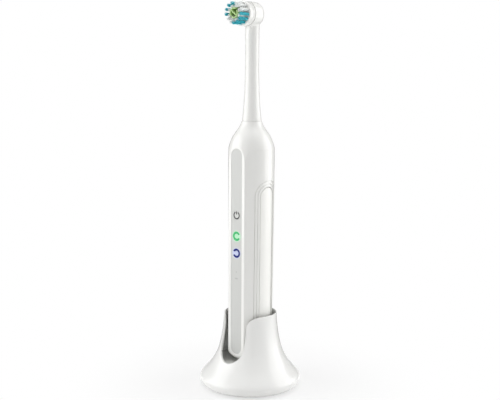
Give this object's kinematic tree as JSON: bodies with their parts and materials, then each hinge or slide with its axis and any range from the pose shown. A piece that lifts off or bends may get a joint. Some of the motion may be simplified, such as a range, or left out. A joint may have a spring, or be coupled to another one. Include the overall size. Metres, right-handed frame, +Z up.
{
  "type": "electric toothbrush on charger",
  "caption": "Electric toothbrush with a round oscillating brush head, standing in a bell-shaped charger with an open front slot; head pulls off, handle lifts out, button presses, plate swings.",
  "frame": {"origin": "centre of the face that the charger stands on, under the brush axis", "axes": "+Z up along the brush, -Y the front with the grey strip and the bristles, +Y the rear with the power socket, +X the right side grip"},
  "size_m": [0.0636, 0.0636, 0.2388],
  "materials": {
    "white_gloss": "glossy, smooth",
    "strip_grey": "satin, smooth",
    "grip_white": "satin, smooth",
    "button_grey": "satin, smooth",
    "green_lens": "lit lens",
    "blue_lens": "lit lens",
    "status_lens": "unlit lens",
    "dark_rubber": "matte",
    "inner_plastic": "matte",
    "board_green": "satin",
    "chip_black": "matte",
    "steel": "brushed",
    "copper": "varnished wire",
    "battery_wrap": "printed sleeve left bare",
    "ferrite": "matte",
    "bearing_bronze": "sintered",
    "teal_bristle": "satin filament",
    "white_bristle": "satin filament",
    "green_wing": "satin elastomer"
  },
  "bodies": {
    "charger": {"base_shell": "white_gloss", "base_plate": "inner_plastic", "ring_foot": "dark_rubber", "base_screws": "steel", "charging_deck": "white_gloss", "charger_board": "board_green", "board_standoffs": "inner_plastic", "charger_chips": "chip_black", "power_socket": "steel", "ferrite_core": "ferrite", "primary_coil": "copper"},
    "handle": {"handle_shell": "white_gloss", "side_grip_right": "grip_white", "side_grip_left": "grip_white", "front_strip": "strip_grey", "green_light_ring": "green_lens", "blue_light_ring": "blue_lens", "status_light": "status_lens", "chassis": "inner_plastic", "battery": "battery_wrap", "battery_tabs": "steel", "main_board": "board_green", "push_switch": "chip_black", "light_diodes": "white_bristle", "board_chips": "chip_black", "motor_can": "steel", "motor_coil": "copper", "lower_bearing": "bearing_bronze", "upper_bearing": "bearing_bronze", "shaft_seal": "dark_rubber", "end_cap": "white_gloss", "cap_seal": "dark_rubber", "receiving_coil": "copper"},
    "button": {"power_button": "button_grey"},
    "drive": {"drive_shaft": "steel", "armature": "steel", "magnets": "ferrite"},
    "brush_head": {"brush_stem": "white_gloss", "head_axle": "steel"},
    "head_rod": {"drive_rod": "inner_plastic"},
    "head_plate": {"bristle_plate": "white_gloss", "teal_tufts": "teal_bristle", "white_tufts": "white_bristle", "inner_tufts": "white_bristle", "green_wings": "green_wing"}
  },
  "joints": [
    {"name": "handle_lift", "type": "slide", "parent": "charger", "child": "handle", "axis": [0, 0, 1], "range_m": [0, 0.06]},
    {"name": "button_press", "type": "slide", "parent": "handle", "child": "button", "axis": [0, 1, 0], "range_m": [0, 0.0005], "stiffness_N_per_m": 400, "springref_m": -0.0003},
    {"name": "shaft_swing", "type": "hinge", "parent": "handle", "child": "drive", "pos_m": [0, 0, 0.15], "axis": [0, 0, 1], "range_deg": [-18, 18]},
    {"name": "head_pull", "type": "slide", "parent": "handle", "child": "brush_head", "axis": [0, 0, 1], "range_m": [0, 0.03]},
    {"name": "rod_swing", "type": "hinge", "parent": "brush_head", "child": "head_rod", "pos_m": [0, 0, 0.2], "axis": [0, 0, 1], "range_deg": [-18, 18]},
    {"name": "plate_swing", "type": "hinge", "parent": "brush_head", "child": "head_plate", "pos_m": [0, 0, 0.2314], "axis": [0, 1, 0], "range_deg": [-17.2, 17.2]}
  ],
  "couplings": [
    {"joint": "rod_swing", "follows": "shaft_swing", "ratio": 1},
    {"joint": "plate_swing", "follows": "shaft_swing", "ratio": -0.955}
  ]
}
